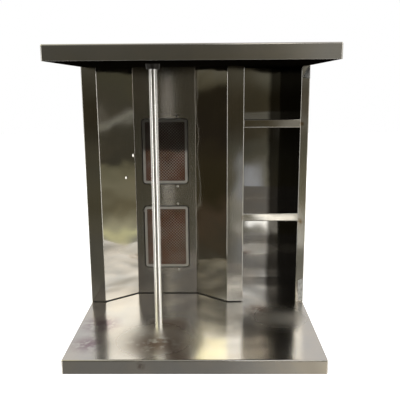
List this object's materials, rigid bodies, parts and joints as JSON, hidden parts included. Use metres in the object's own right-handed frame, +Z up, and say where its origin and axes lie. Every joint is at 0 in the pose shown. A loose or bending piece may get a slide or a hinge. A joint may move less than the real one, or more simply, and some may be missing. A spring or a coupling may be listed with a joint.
{
  "type": "vertical rotisserie broiler",
  "caption": "Counter-top vertical broiler: sheet-steel base and canopy, stacked gas burners in a faceted recess, upright turning spit, open bay with shelves.",
  "frame": {"origin": "on the floor under the feet, in the middle of the whole machine's bounding box", "axes": "+X to the viewer's right, -Y the open front where the spit stands, +Z up"},
  "size_m": [0.604, 0.588, 0.722],
  "materials": {
    "brushed_stainless": "polished and lightly brushed sheet",
    "matte_stainless": "satin pressed sheet",
    "polished_steel": "polished bar",
    "blackened_steel": "blackened by heat and oil",
    "screen_wire": "heat-darkened wire",
    "burner_ceramic": "porous fired ceramic",
    "aluminised_steel": "dull aluminised sheet",
    "galvanised_steel": "zinc coated",
    "bright_aluminium": "drawn tube",
    "brass": "turned",
    "black_phenolic": "moulded",
    "black_rubber": "moulded",
    "black_sealant": "high-temperature bead",
    "bright_screws": "pan heads"
  },
  "bodies": {
    "cabinet": {"base_tray": "brushed_stainless", "base_channel_left": "galvanised_steel", "base_channel_right": "galvanised_steel", "rubber_feet": "black_rubber", "left_side_panel": "brushed_stainless", "left_reflector": "brushed_stainless", "burner_panel": "brushed_stainless", "right_reflector": "brushed_stainless", "middle_post": "brushed_stainless", "right_side_panel": "brushed_stainless", "bay_back_wall": "brushed_stainless", "upper_shelf": "brushed_stainless", "lower_shelf": "brushed_stainless", "rear_cover": "brushed_stainless", "cover_screws": "bright_screws", "burner_screws": "bright_screws", "canopy": "brushed_stainless", "soffit_tray": "blackened_steel", "spit_bush": "blackened_steel", "socket_housing": "galvanised_steel", "base_seal": "black_sealant", "manifold_pipe": "galvanised_steel", "inlet_elbow": "galvanised_steel", "inlet_locknut": "brass", "upper_burner_frame": "matte_stainless", "upper_burner_screen": "screen_wire", "upper_ceramic_tiles": "burner_ceramic", "upper_plenum": "aluminised_steel", "upper_burner_brackets": "galvanised_steel", "upper_mixing_tube": "aluminised_steel", "upper_gas_jet": "brass", "upper_supply_tube": "bright_aluminium", "upper_valve_body": "brass", "lower_burner_frame": "matte_stainless", "lower_burner_screen": "screen_wire", "lower_ceramic_tiles": "burner_ceramic", "lower_plenum": "aluminised_steel", "lower_burner_brackets": "galvanised_steel", "lower_mixing_tube": "aluminised_steel", "lower_gas_jet": "brass", "lower_supply_tube": "bright_aluminium", "lower_valve_body": "brass"},
    "turning_socket": {"spit_socket": "galvanised_steel"},
    "spit": {"spit_rod": "polished_steel"},
    "upper_knob": {"upper_valve_stem": "brass", "upper_valve_knob": "black_phenolic"},
    "lower_knob": {"lower_valve_stem": "brass", "lower_valve_knob": "black_phenolic"}
  },
  "joints": [
    {"name": "spit_spin", "type": "hinge", "parent": "cabinet", "child": "turning_socket", "pos_m": [-0.095, -0.112, 0.03], "axis": [0, 0, 1], "continuous": true},
    {"name": "spit_lift", "type": "slide", "parent": "turning_socket", "child": "spit", "axis": [0, 0, 1], "range_m": [0, 0.015]},
    {"name": "upper_knob_turn", "type": "hinge", "parent": "cabinet", "child": "upper_knob", "pos_m": [-0.018, 0.266, 0.3475], "axis": [0, 1, 0], "range_deg": [0, 90]},
    {"name": "lower_knob_turn", "type": "hinge", "parent": "cabinet", "child": "lower_knob", "pos_m": [-0.018, 0.266, 0.0995], "axis": [0, 1, 0], "range_deg": [0, 90]}
  ]
}
